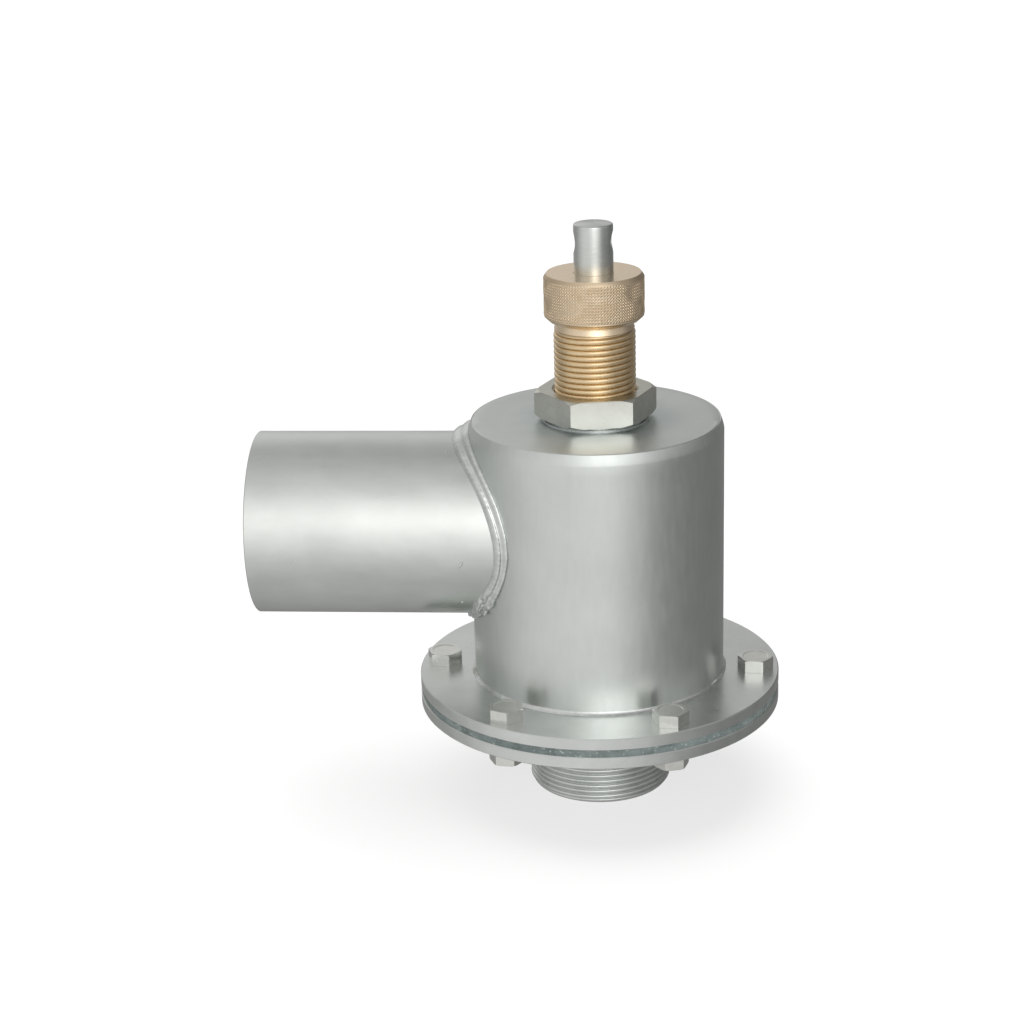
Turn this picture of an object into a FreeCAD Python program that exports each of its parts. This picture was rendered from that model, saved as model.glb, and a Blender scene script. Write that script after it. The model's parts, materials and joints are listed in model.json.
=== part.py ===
import FreeCAD, Part
import math
import os

# Safety valve with a threaded inlet below, a side outlet pipe and a brass adjusting screw on top.
# Millimetres. The valve axis is +Z, the outlet pipe points along -X.
# The origin is the centre of the inlet nipple's lower face, which the valve stands on.

# Pipe threads, drawn as ring ridges with one shared pitch
thread_pitch = 2.309
thread_depth = 1.479
thread_crest_share = 0.22
thread_root_share = 0.22

# Inlet nipple
nipple_crest_radius = 29.8
nipple_bore_radius = 25.0
nipple_standout = 38.0
nipple_thread_length = 26.0
nipple_neck_relief = 0.3
nipple_lead_in = 1.5
nipple_weld_leg = 3.0
seat_standout = 9.0
seat_lip_width = 1.4
seat_lip_slope = 2.0

# Flange joint
flange_overhang = 23.3
base_flange_thickness = 5.0
gasket_thickness = 3.0
body_flange_thickness = 5.0
flange_edge_break = 0.4
gasket_edge_inset = 0.5
press_gap = 0.02

# Flange fasteners
bolt_count = 6
bolt_standoff = 13.5
bolt_first_angle = -1.8
bolt_shank_radius = 4.0
bolt_hole_clearance = 0.5
bolt_head_flats = 13.0
bolt_head_height = 5.3
bolt_end_standout = 0.6
bolt_nut_height = 5.4
bolt_head_twists = (-5.9, 12.0, 24.0, -11.5, 35.4, -5.6)
bolt_nut_twist = 20.0

# Housing
housing_outer_radius = 52.5
housing_wall = 2.5
housing_height = 109.5
housing_top_thickness = 3.0
housing_edge_radius = 5.0
flange_weld_leg = 1.5

# Outlet pipe
pipe_outer_radius = 38.05
pipe_wall = 2.0
pipe_below_housing_top = 7.45
pipe_reach = 141.5
pipe_weld_leg = 3.4

# Threaded bush in the housing's top
boss_wall = 5.0
boss_length = 22.0
boss_standout = 0.5
boss_weld_leg = 2.0

# Adjusting screw
screw_crest_radius = 16.62
screw_running_clearance = 0.07
screw_end_below_boss = 6.0
screw_gap_above_nut = 28.7
screw_neck_length = 3.6
screw_neck_radius = 15.7
screw_lead_in = 1.0
screw_bore_clearance = 1.2
head_radius = 20.4
head_height = 19.2
head_top_chamfer = 1.3
head_bottom_chamfer = 2.2

# Lock nut and the ring held in its underside
lock_nut_flats = 43.5
lock_nut_height = 11.3
lock_nut_twist = 10.1
lock_nut_chamfer = 1.3
lock_nut_bore_clearance = 0.1
lock_ring_thickness = 1.0
lock_ring_width = 3.6
lock_ring_bore_clearance = 0.4

# Stem
stem_radius = 8.0
stem_standout = 19.8
stem_end_chamfer = 0.4
stem_hole_radius = 3.5
stem_hole_below_end = 7.4
stem_hole_flare = 1.2
stem_running_clearance = 0.05
stem_plate_clearance = 0.3
stem_thread_radius = 6.0

# Guide bush and O-ring in the screw's bore
bush_length = 16.0
seal_cord_radius = 1.5
seal_below_head_top = 6.0
seal_stem_gap = 0.05

# Valve disc group
disc_radius = 34.0
disc_thickness = 4.5
disc_skirt_width = 2.2
disc_skirt_lift = 1.0
disc_hub_radius = 12.0
disc_hub_height = 6.0
disc_seal_thickness = 3.5
disc_seal_inner_radius = 19.0
disc_fit_gap = 0.02
retainer_radius = 23.4
retainer_thickness = 3.0
retainer_nut_flats = 18.0
retainer_nut_height = 7.0
stem_end_below_nut = 2.0
clip_thickness = 1.2
clip_width = 2.4
clip_gap = 0.3

# Spring and its plates
spring_wire_radius = 1.8
spring_mean_radius = 17.5
spring_open_turns = 4.0
spring_end_turns = 1.0
spring_coil_gap = 0.25
spring_end_gap = 0.05
plate_radius = 20.5
plate_thickness = 4.0
plate_spigot_height = 3.0
plate_spigot_gap = 0.5
thrust_washer_thickness = 2.0
thrust_washer_radius = 16.0

# Heights that follow from the stack
base_flange_low = nipple_standout
base_flange_top = base_flange_low + base_flange_thickness
gasket_top = base_flange_top + gasket_thickness
flange_top = gasket_top + body_flange_thickness
seat_height = base_flange_top + seat_standout
housing_top = flange_top + housing_height
boss_top = housing_top + boss_standout
boss_low = boss_top - boss_length
lock_ring_top = boss_top + lock_ring_thickness
lock_nut_top = lock_ring_top + lock_nut_height
screw_end = boss_low - screw_end_below_boss
head_low = lock_nut_top + screw_gap_above_nut
head_top = head_low + head_height
stem_top = head_top + stem_standout
pipe_axis_height = housing_top - pipe_below_housing_top - pipe_outer_radius
disc_low = seat_height + disc_seal_thickness
disc_top = disc_low + disc_thickness
hub_top = disc_top + disc_hub_height
lower_plate_top = hub_top + plate_thickness
thrust_washer_low = screw_end - thrust_washer_thickness
upper_plate_low = thrust_washer_low - plate_thickness
retainer_low = seat_height - retainer_thickness
retainer_nut_low = retainer_low - retainer_nut_height

# Radii that follow from the housing and the fits
flange_radius = housing_outer_radius + flange_overhang
bolt_circle_radius = housing_outer_radius + bolt_standoff
nipple_root_radius = nipple_crest_radius - thread_depth
housing_bore_radius = housing_outer_radius - housing_wall
pipe_bore_radius = pipe_outer_radius - pipe_wall
boss_bore_radius = screw_crest_radius + screw_running_clearance
boss_outer_radius = boss_bore_radius + boss_wall
bush_bore_radius = stem_radius + stem_running_clearance
screw_bore_radius = bush_bore_radius + screw_bore_clearance
plate_bore_radius = stem_radius + stem_plate_clearance
seal_groove_radius = stem_radius + seal_stem_gap + 2 * seal_cord_radius
spigot_radius = spring_mean_radius - spring_wire_radius - plate_spigot_gap
bolt_hole_radius = bolt_shank_radius + bolt_hole_clearance

UP = FreeCAD.Vector(0, 0, 1)
OUTLET = FreeCAD.Vector(-1, 0, 0)


def point(x, y, z):
    return FreeCAD.Vector(x, y, z)


def rod(radius, low, high):
    return Part.makeCylinder(radius, high - low, point(0, 0, low), UP)


def ring(inner, outer, low, high):
    return rod(outer, low, high).cut(rod(inner, low, high))


def turned(profile):
    """A solid turned about the valve axis from a closed outline of (radius, height) pairs."""
    corners = [point(radius, 0, height) for radius, height in profile]
    outline = Part.makePolygon(corners + corners[:1])
    return Part.Face(outline).revolve(point(0, 0, 0), UP, 360)


def hexagon(flats, low, high, twist):
    """A hexagonal bar. One corner lies at the twist angle, in degrees from +X."""
    corner_radius = flats / math.sqrt(3)
    angles = [math.radians(twist + 60 * side) for side in range(6)]
    corners = [point(corner_radius * math.cos(a), corner_radius * math.sin(a), low) for a in angles]
    outline = Part.makePolygon(corners + corners[:1])
    return Part.Face(outline).extrude(point(0, 0, high - low))


def chamfered_hexagon(flats, low, high, twist, drop, chamfer_low):
    """A hexagon whose corners are turned away at the top, and at the bottom as well if asked."""
    corner_radius = flats / math.sqrt(3)
    run = drop / math.tan(math.radians(30))
    edge = corner_radius - run
    profile = [(0, low), (edge if chamfer_low else corner_radius, low)]
    if chamfer_low:
        profile.append((corner_radius, low + drop))
    profile += [(corner_radius, high - drop), (edge, high), (0, high)]
    return hexagon(flats, low, high, twist).common(turned(profile))


def ridges(crest_radius, low, high):
    """The outline of thread ridges from low to high: a flat crest, a flank, a flat root, a flank."""
    root_radius = crest_radius - thread_depth
    count = int((high - low) / thread_pitch)
    crest = thread_pitch * thread_crest_share
    flank = thread_pitch * (1 - thread_crest_share - thread_root_share) / 2
    outline = []
    for turn in range(count):
        start = low + turn * thread_pitch
        outline.append((root_radius, start))
        outline.append((crest_radius, start + flank))
        outline.append((crest_radius, start + flank + crest))
        outline.append((root_radius, start + 2 * flank + crest))
    return outline


def around_bolts(make):
    """One copy of a solid at each bolt place, turned by that bolt's own twist."""
    copies = []
    for place in range(bolt_count):
        angle = math.radians(bolt_first_angle + 360.0 / bolt_count * place)
        copy = make(bolt_head_twists[place % len(bolt_head_twists)])
        copy.translate(point(bolt_circle_radius * math.cos(angle), bolt_circle_radius * math.sin(angle), 0))
        copies.append(copy)
    return copies


def bolt_holes(low, high):
    return Part.makeCompound(around_bolts(lambda twist: rod(bolt_hole_radius, low, high)))


def flange_plate(inner, low, high):
    """A round plate with its outer edges broken and the bolt holes through it."""
    edge = flange_radius - flange_edge_break
    plate = turned([
        (inner, low), (edge, low), (flange_radius, low + flange_edge_break),
        (flange_radius, high - flange_edge_break), (edge, high), (inner, high),
    ])
    return plate.cut(bolt_holes(low, high))


def pipe_cylinder(radius, start, end):
    """A cylinder on the outlet pipe's axis, from start to end measured outwards from the valve axis."""
    return Part.makeCylinder(radius, end - start, point(-start, 0, pipe_axis_height), OUTLET)


# Housing and what is welded to it

def make_inlet_nipple():
    relief_radius = nipple_root_radius - nipple_neck_relief
    thread = ridges(nipple_crest_radius, nipple_lead_in, nipple_thread_length)
    lip_inner = nipple_bore_radius
    lip_outer = lip_inner + seat_lip_width
    profile = [(lip_inner, 0), (nipple_root_radius, 0)]
    profile += thread
    profile += [
        (relief_radius, nipple_thread_length),
        (relief_radius, base_flange_low - nipple_weld_leg),
        (nipple_root_radius, base_flange_low - nipple_weld_leg),
        (nipple_root_radius, seat_height - seat_lip_slope),
        (lip_outer, seat_height),
        (lip_inner, seat_height),
    ]
    return turned(profile)


def make_nipple_weld():
    inner = nipple_root_radius
    return turned([
        (inner, base_flange_low - nipple_weld_leg),
        (inner + nipple_weld_leg, base_flange_low),
        (inner, base_flange_low),
    ])


def make_base_flange():
    return flange_plate(nipple_root_radius, base_flange_low, base_flange_top)


def make_flange_gasket():
    outer = flange_radius - gasket_edge_inset
    gasket = ring(housing_bore_radius, outer, base_flange_top, gasket_top)
    return gasket.cut(bolt_holes(base_flange_top, gasket_top))


def make_body_flange():
    return flange_plate(housing_bore_radius, gasket_top, flange_top)


def make_housing_shell():
    shell = rod(housing_outer_radius, flange_top, housing_top)
    rim = [e for e in shell.Edges if abs(e.BoundBox.ZMin - housing_top) < 1e-6 and len(e.Vertexes) == 1]
    shell = shell.makeFillet(housing_edge_radius, rim)
    inside = rod(housing_bore_radius, flange_top, housing_top - housing_top_thickness)
    inner_rim = [e for e in inside.Edges if abs(e.BoundBox.ZMin - inside.BoundBox.ZMax) < 1e-6]
    inner_edge = max(housing_edge_radius - housing_wall, housing_wall / 2)
    inside = inside.makeFillet(inner_edge, inner_rim)
    shell = shell.cut(inside)
    shell = shell.cut(rod(boss_outer_radius, boss_low, boss_top))
    return shell.cut(pipe_cylinder(pipe_bore_radius, 0, housing_outer_radius + pipe_wall))


def make_flange_weld():
    return turned([
        (housing_outer_radius, flange_top),
        (housing_outer_radius + flange_weld_leg, flange_top),
        (housing_outer_radius, flange_top + flange_weld_leg),
    ])


def make_outlet_pipe():
    pipe = pipe_cylinder(pipe_outer_radius, 0, pipe_reach)
    pipe = pipe.cut(pipe_cylinder(pipe_bore_radius, 0, pipe_reach))
    return pipe.cut(rod(housing_outer_radius, flange_top, housing_top))


def make_outlet_weld():
    bead = pipe_cylinder(pipe_outer_radius + pipe_weld_leg, 0, housing_outer_radius + pipe_weld_leg)
    skin = rod(housing_outer_radius + pipe_weld_leg, flange_top, housing_top)
    bead = bead.common(skin)
    bead = bead.cut(pipe_cylinder(pipe_outer_radius, 0, pipe_reach))
    return bead.cut(rod(housing_outer_radius, flange_top, housing_top))


def make_top_boss():
    return ring(boss_bore_radius, boss_outer_radius, boss_low, boss_top)


def make_boss_weld():
    """The bead inside the housing, under its top, where it isn't seen."""
    low = housing_top - housing_top_thickness
    return turned([
        (boss_outer_radius, low - boss_weld_leg),
        (boss_outer_radius + boss_weld_leg, low),
        (boss_outer_radius, low),
    ])


def make_flange_bolts():
    low = base_flange_low - bolt_nut_height - bolt_end_standout
    high = flange_top + bolt_head_height

    def bolt(twist):
        head = chamfered_hexagon(bolt_head_flats, flange_top, high, twist, bolt_head_height / 9, False)
        return head.fuse(rod(bolt_shank_radius, low, flange_top))

    return Part.makeCompound(around_bolts(bolt))


def make_flange_nuts():
    low = base_flange_low - bolt_nut_height

    def nut(twist):
        drop = bolt_nut_height / 10
        body = chamfered_hexagon(bolt_head_flats, low, base_flange_low, twist + bolt_nut_twist, drop, True)
        return body.cut(rod(bolt_shank_radius, low, base_flange_low))

    return Part.makeCompound(around_bolts(nut))


# Spring

def helix(pitch, turns, low, start_turns):
    """One stretch of the spring's centre line, which begins where the stretch below it ended."""
    path = Part.makeHelix(pitch, pitch * turns, spring_mean_radius)
    path.rotate(point(0, 0, 0), UP, 360 * start_turns)
    path.translate(point(0, 0, low))
    return path.Edges


def make_spring():
    """Closed end coils below and above, with the open coils spread evenly between them."""
    low = lower_plate_top + spring_end_gap + spring_wire_radius
    high = upper_plate_low - spring_end_gap - spring_wire_radius
    end_pitch = 2 * spring_wire_radius + spring_coil_gap
    end_height = end_pitch * spring_end_turns
    open_pitch = (high - low - 2 * end_height) / spring_open_turns
    lower_coil = helix(end_pitch, spring_end_turns, low, 0)
    open_coils = helix(open_pitch, spring_open_turns, low + end_height, spring_end_turns)
    upper_coil = helix(end_pitch, spring_end_turns, high - end_height, spring_end_turns + spring_open_turns)
    slope = math.atan2(end_pitch, 2 * math.pi * spring_mean_radius)
    section = Part.makeCircle(spring_wire_radius, point(spring_mean_radius, 0, low),
                              point(0, math.cos(slope), math.sin(slope)))
    return Part.Wire(lower_coil + open_coils + upper_coil).makePipeShell([Part.Wire(section)], True, True)


# Valve disc and stem

def make_lower_spring_plate():
    plate = rod(plate_radius, hub_top, lower_plate_top)
    plate = plate.fuse(rod(spigot_radius, hub_top, lower_plate_top + plate_spigot_height))
    return plate.cut(rod(plate_bore_radius, hub_top, lower_plate_top + plate_spigot_height))


def make_valve_disc():
    skirt_inner = disc_radius - disc_skirt_width
    hole = stem_thread_radius + disc_fit_gap
    return turned([
        (hole, seat_height),
        (disc_seal_inner_radius, seat_height),
        (disc_seal_inner_radius, disc_low),
        (skirt_inner, disc_low),
        (skirt_inner, seat_height + disc_skirt_lift),
        (disc_radius, seat_height + disc_skirt_lift),
        (disc_radius, disc_top),
        (disc_hub_radius, disc_top),
        (disc_hub_radius, hub_top),
        (hole, hub_top),
    ])


def make_disc_seal():
    outer = disc_radius - disc_skirt_width - disc_fit_gap
    return ring(disc_seal_inner_radius + disc_fit_gap, outer, seat_height, disc_low)


def make_seal_retainer():
    return ring(stem_thread_radius + disc_fit_gap, retainer_radius, retainer_low, seat_height)


def make_retainer_nut():
    drop = retainer_nut_height / 10
    body = chamfered_hexagon(retainer_nut_flats, retainer_nut_low, retainer_low, 0, drop, True)
    return body.cut(rod(stem_thread_radius + disc_fit_gap, retainer_nut_low, retainer_low))


def make_stem():
    clip_low = lower_plate_top + plate_spigot_height + clip_gap
    groove_radius = stem_radius - clip_width / 2
    stem = turned([
        (0, retainer_nut_low - stem_end_below_nut),
        (stem_thread_radius - stem_end_chamfer, retainer_nut_low - stem_end_below_nut),
        (stem_thread_radius, retainer_nut_low - stem_end_below_nut + stem_end_chamfer),
        (stem_thread_radius, hub_top),
        (stem_radius, hub_top),
        (stem_radius, clip_low),
        (groove_radius, clip_low),
        (groove_radius, clip_low + clip_thickness),
        (stem_radius, clip_low + clip_thickness),
        (stem_radius, stem_top - stem_end_chamfer),
        (stem_radius - stem_end_chamfer, stem_top),
        (0, stem_top),
    ])
    height = stem_top - stem_hole_below_end
    across = 2 * stem_radius
    stem = stem.cut(Part.makeCylinder(stem_hole_radius, across, point(stem_radius, 0, height), OUTLET))
    for side in (-1, 1):
        outward = point(side, 0, 0)
        wide = stem_hole_radius + stem_hole_flare
        flare_start = stem_radius - stem_hole_flare
        base = point(side * flare_start, 0, height)
        flare = Part.makeCone(stem_hole_radius, wide, stem_hole_flare, base, outward)
        stem = stem.cut(flare)
    return stem


def make_stem_clip():
    clip_low = lower_plate_top + plate_spigot_height + clip_gap
    inner = stem_radius - clip_width / 2 + press_gap
    return ring(inner, inner + clip_width, clip_low + press_gap, clip_low + clip_thickness - press_gap)


# Adjusting screw group

def make_upper_spring_plate():
    plate = rod(plate_radius, upper_plate_low, thrust_washer_low)
    plate = plate.fuse(rod(spigot_radius, upper_plate_low - plate_spigot_height, upper_plate_low))
    return plate.cut(rod(plate_bore_radius, upper_plate_low - plate_spigot_height, thrust_washer_low))


def make_thrust_washer():
    return ring(plate_bore_radius, thrust_washer_radius, thrust_washer_low, screw_end)


def make_adjusting_screw():
    root_radius = screw_crest_radius - thread_depth
    neck_low = head_low - screw_neck_length
    seal_mid = head_top - seal_below_head_top
    thread = ridges(screw_crest_radius, screw_end + screw_lead_in, neck_low)
    bush_seat = bush_bore_radius + screw_bore_clearance + press_gap
    profile = [(bush_seat, screw_end), (root_radius, screw_end)]
    profile += thread
    profile += [
        (screw_neck_radius, neck_low),
        (screw_neck_radius, head_low),
        (head_radius - head_bottom_chamfer, head_low),
        (head_radius, head_low + head_bottom_chamfer),
        (head_radius, head_top - head_top_chamfer),
        (head_radius - head_top_chamfer, head_top),
        (bush_bore_radius, head_top),
        (bush_bore_radius, seal_mid + seal_cord_radius + press_gap),
        (seal_groove_radius, seal_mid + seal_cord_radius + press_gap),
        (seal_groove_radius, seal_mid - seal_cord_radius - press_gap),
        (bush_bore_radius, seal_mid - seal_cord_radius - press_gap),
        (bush_bore_radius, head_low),
        (bush_seat, head_low),
    ]
    return turned(profile)


def make_stem_bush():
    return ring(bush_bore_radius, screw_bore_radius, screw_end, screw_end + bush_length)


def make_stem_seal():
    middle = stem_radius + seal_stem_gap + seal_cord_radius
    height = head_top - seal_below_head_top
    return Part.makeTorus(middle, seal_cord_radius, point(0, 0, height), UP)


def make_lock_ring():
    inner = screw_crest_radius + lock_ring_bore_clearance
    return ring(inner, inner + lock_ring_width, boss_top, lock_ring_top)


def make_lock_nut():
    bore = screw_crest_radius + lock_nut_bore_clearance
    low, high = lock_ring_top, lock_nut_top
    nut = chamfered_hexagon(lock_nut_flats, low, high, lock_nut_twist, lock_nut_chamfer, True)
    return nut.cut(rod(bore, lock_ring_top, lock_nut_top))


nodes = {
    "inlet_nipple": make_inlet_nipple,
    "nipple_weld": make_nipple_weld,
    "base_flange": make_base_flange,
    "flange_gasket": make_flange_gasket,
    "body_flange": make_body_flange,
    "flange_bolts": make_flange_bolts,
    "flange_nuts": make_flange_nuts,
    "housing_shell": make_housing_shell,
    "flange_weld": make_flange_weld,
    "outlet_pipe": make_outlet_pipe,
    "outlet_weld": make_outlet_weld,
    "top_boss": make_top_boss,
    "boss_weld": make_boss_weld,
    "spring": make_spring,
    "lower_spring_plate": make_lower_spring_plate,
    "valve_disc": make_valve_disc,
    "disc_seal": make_disc_seal,
    "seal_retainer": make_seal_retainer,
    "retainer_nut": make_retainer_nut,
    "stem": make_stem,
    "stem_clip": make_stem_clip,
    "upper_spring_plate": make_upper_spring_plate,
    "thrust_washer": make_thrust_washer,
    "adjusting_screw": make_adjusting_screw,
    "stem_bush": make_stem_bush,
    "stem_seal": make_stem_seal,
    "lock_ring": make_lock_ring,
    "lock_nut": make_lock_nut,
}

os.makedirs("parts", exist_ok=True)
for name, make in nodes.items():
    shape = make()
    print(f"{name}: {len(shape.Solids)} solids, {shape.Volume:.1f} mm3, valid {shape.isValid()}")
    shape.exportStep(f"parts/{name}.step")
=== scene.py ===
import bmesh
import bpy
import json
import math
from mathutils import Matrix, Vector, noise


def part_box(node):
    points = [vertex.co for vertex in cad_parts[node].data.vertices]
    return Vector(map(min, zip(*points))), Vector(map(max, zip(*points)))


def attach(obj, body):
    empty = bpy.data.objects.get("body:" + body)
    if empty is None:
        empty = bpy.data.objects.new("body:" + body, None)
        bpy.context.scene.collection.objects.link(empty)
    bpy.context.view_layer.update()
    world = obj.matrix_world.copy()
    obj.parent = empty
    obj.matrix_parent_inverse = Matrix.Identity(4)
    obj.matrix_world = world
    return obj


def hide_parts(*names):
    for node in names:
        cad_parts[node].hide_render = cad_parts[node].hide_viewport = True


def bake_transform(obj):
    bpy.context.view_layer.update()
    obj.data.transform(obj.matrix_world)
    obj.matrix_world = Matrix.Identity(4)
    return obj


# Safety valve: satin stainless housing and outlet pipe, brass adjusting screw, bolted flange.
# Metres, +Z up along the valve, the outlet points along -X, and it stands on its nipple at z = 0.
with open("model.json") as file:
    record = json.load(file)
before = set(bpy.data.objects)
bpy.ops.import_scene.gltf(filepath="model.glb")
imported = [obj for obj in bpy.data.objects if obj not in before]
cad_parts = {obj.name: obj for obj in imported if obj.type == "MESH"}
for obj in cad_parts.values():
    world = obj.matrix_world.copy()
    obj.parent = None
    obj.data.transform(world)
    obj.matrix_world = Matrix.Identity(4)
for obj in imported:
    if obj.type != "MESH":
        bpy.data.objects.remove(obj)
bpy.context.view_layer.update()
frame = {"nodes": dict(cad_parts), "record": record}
mm = 0.001

bodyOfNode = {n: body for body, members in frame["record"]["behaviour"]["bodies"].items() for n in members}
slotOfNode = {part["node"]: part["material_slot"] for part in frame["record"]["subparts"]}


# Small helpers for places and shapes

def heights(node):  # lowest and highest z of a solid
    low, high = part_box(node)
    return low.z, high.z


def ease(value):  # 0 to 1 with soft ends
    value = min(1.0, max(0.0, value))
    return value * value * (3 - 2 * value)


def bump(value, centre, width):  # a bell of height 1
    return math.exp(-((value - centre) / width) ** 2)


def circleRow(radius, z, columns, twist=0.0):
    turns = [2 * math.pi * j / columns + twist for j in range(columns)]
    return [(radius * math.cos(turn), radius * math.sin(turn), z) for turn in turns]


def ringAlongX(x, radius, height, columns):  # a circle about a line along X at this height
    turns = [2 * math.pi * j / columns for j in range(columns)]
    return [(x, radius * math.cos(turn), height + radius * math.sin(turn)) for turn in turns]


def direction(turn, height):
    return Vector((math.cos(height) * math.cos(turn), math.cos(height) * math.sin(turn), math.sin(height)))


def moved(rows, place):
    return [[tuple(Vector(p) + place) for p in row] for row in rows]


def gridFaces(rowCount, columns, closed, meets=None, start=0):
    # quads between rows of points that go round; meets says which row a row runs into after a full turn
    meets = meets or {}
    faces = []
    for k in range(rowCount if closed else rowCount - 1):
        after = (k + 1) % rowCount
        for j in range(columns):
            nextCol = (j + 1) % columns
            here, there = (meets.get(k, k), meets.get(after, after)) if nextCol == 0 else (k, after)
            faces.append((start + k * columns + j, start + here * columns + nextCol,
                          start + there * columns + nextCol, start + after * columns + j))
    return faces


def addPiece(name, points, faces, material, sharpAngle=32, bevel=0):
    mesh = bpy.data.meshes.new(name)
    mesh.from_pydata(points, [], faces)
    work = bmesh.new()
    work.from_mesh(mesh)
    bmesh.ops.remove_doubles(work, verts=work.verts, dist=1e-7)
    bmesh.ops.recalc_face_normals(work, faces=work.faces)
    work.to_mesh(mesh)
    work.free()
    piece = bpy.data.objects.new(name, mesh)
    bpy.context.scene.collection.objects.link(piece)
    piece.data.materials.append(material)
    if bevel:
        rounding = piece.modifiers.new("edgeRounding", "BEVEL")
        rounding.width = bevel
        rounding.segments = 2
        rounding.limit_method = "ANGLE"
        rounding.angle_limit = math.radians(sharpAngle)
        rounding.use_clamp_overlap = True
        applyModifiers(piece)
    shadeSmooth(piece, sharpAngle)
    if bevel:
        piece.modifiers.new("flatSides", "WEIGHTED_NORMAL").keep_sharp = True
        applyModifiers(piece)
    return piece


def addRows(name, rows, material, sharpAngle=32, bevel=0, closed=True, meets=None):
    # a skin over rows of points that go round: the last row meets the first, or both ends get a cap
    points = [p for row in rows for p in row]
    columns = len(rows[0])
    faces = gridFaces(len(rows), columns, closed, meets)
    if not closed:
        faces += [tuple(range(columns)), tuple(range(len(points) - columns, len(points)))]
    return addPiece(name, points, faces, material, sharpAngle, bevel)


def shadeSmooth(piece, sharpAngle):
    piece.data.shade_smooth()
    piece.data.set_sharp_from_angle(angle=math.radians(sharpAngle))


def applyModifiers(piece):
    graph = bpy.context.evaluated_depsgraph_get()
    finished = bpy.data.meshes.new_from_object(piece.evaluated_get(graph))
    piece.modifiers.clear()
    piece.data = finished


def joinPieces(pieces):
    # the first piece takes the meshes of the others
    work = bmesh.new()
    for piece in pieces:
        work.from_mesh(piece.data)
    work.to_mesh(pieces[0].data)
    work.free()
    for piece in pieces[1:]:
        bpy.data.objects.remove(piece)
    return pieces[0]


def standFor(piece, node):
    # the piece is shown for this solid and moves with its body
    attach(piece, bodyOfNode[node])
    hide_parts(node)
    return piece


# Materials

def addNode(tree, kind, sockets=None, **settings):
    made = tree.nodes.new(kind)
    for key, value in settings.items():
        setattr(made, key, value)
    for key, value in (sockets or {}).items():
        if isinstance(value, bpy.types.NodeSocket):
            tree.links.new(value, made.inputs[key])
        else:
            made.inputs[key].default_value = value
    return made


def clearedTree(owner):
    owner.use_nodes = True
    owner.node_tree.nodes.clear()
    return owner.node_tree


def newMaterial(name):
    material = bpy.data.materials.new(name)
    tree = clearedTree(material)
    shader = addNode(tree, "ShaderNodeBsdfPrincipled")
    addNode(tree, "ShaderNodeOutputMaterial", {"Surface": shader.outputs["BSDF"]})
    return material, tree, shader


def shaded(color, factor):
    return tuple(min(1.0, c * factor) for c in color) + (1.0,)


def noiseAt(tree, place, size, detail=3.0, rough=0.55):
    return addNode(tree, "ShaderNodeTexNoise", {"Vector": place, "Scale": 1.0 / size, "Detail": detail,
                                                "Roughness": rough}).outputs["Fac"]


def remap(tree, value, low, high, fromLow=0.3, fromHigh=0.7):
    return addNode(tree, "ShaderNodeMapRange", {"Value": value, "From Min": fromLow, "From Max": fromHigh,
                                               "To Min": low, "To Max": high}).outputs["Result"]


def calculate(tree, operation, first, second=0.0):
    return addNode(tree, "ShaderNodeMath", {0: first, 1: second}, operation=operation).outputs[0]


def mixColors(tree, amount, first, second):
    return addNode(tree, "ShaderNodeMix", {0: amount, 6: first, 7: second}, data_type="RGBA").outputs[2]


def reliefFrom(tree, height, depth):
    return addNode(tree, "ShaderNodeBump", {"Height": height, "Distance": depth}).outputs["Normal"]


def feed(tree, shader, sockets):
    for key, value in sockets.items():
        tree.links.new(value, shader.inputs[key])


def weighted(tree, first, firstShare, second, secondShare):
    return calculate(tree, "ADD", calculate(tree, "MULTIPLY", first, firstShare),
                     calculate(tree, "MULTIPLY", second, secondShare))


def fromAxis(tree, place):
    # distance from the valve axis, and height
    parts = addNode(tree, "ShaderNodeSeparateXYZ", {"Vector": place})
    acrossX = calculate(tree, "POWER", parts.outputs["X"], 2.0)
    acrossY = calculate(tree, "POWER", parts.outputs["Y"], 2.0)
    return calculate(tree, "SQRT", calculate(tree, "ADD", acrossX, acrossY)), parts.outputs["Z"]


def metalMaterial(name, look):
    # satin metal: blotches in colour and gloss, streaks along one direction, and fine grain
    material, tree, shader = newMaterial(name)
    place = addNode(tree, "ShaderNodeTexCoord").outputs["Object"]
    stretched = addNode(tree, "ShaderNodeMapping", {"Vector": place, "Scale": look["stretch"]})
    blotch = noiseAt(tree, place, look["blotch"], 4.0)
    streak = noiseAt(tree, stretched.outputs["Vector"], look["streak"], 3.0)
    grain = noiseAt(tree, place, look["grain"], 2.0)
    tone = remap(tree, weighted(tree, blotch, 0.6, streak, 0.4), 0.0, 1.0, 0.36, 0.64)
    darker, lighter = shaded(look["color"], 1 - look["mottle"]), shaded(look["color"], 1 + look["mottle"])
    color = mixColors(tree, tone, darker, lighter)
    least, most = look["rough"] - look["roughSpread"], look["rough"] + look["roughSpread"]
    rough = remap(tree, weighted(tree, streak, 0.8, grain, 0.2), least, most)
    normal = reliefFrom(tree, weighted(tree, grain, 0.3, streak, 0.7), look["relief"])
    shader.inputs["Metallic"].default_value = 1.0
    feed(tree, shader, {"Base Color": color, "Roughness": rough, "Normal": normal})
    return material, tree, shader, place, color, rough


def metalLook(color, rough, **changes):
    look = {"color": color, "rough": rough, "roughSpread": 0.05, "blotch": 0.022, "streak": 0.004,
            "stretch": (1.0, 1.0, 1.0), "grain": 0.0006, "mottle": 0.05, "relief": 0.000002}
    look.update(changes)
    return look


def plainMetal(name, color, rough, **changes):
    return metalMaterial(name, metalLook(color, rough, **changes))[0]


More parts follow.
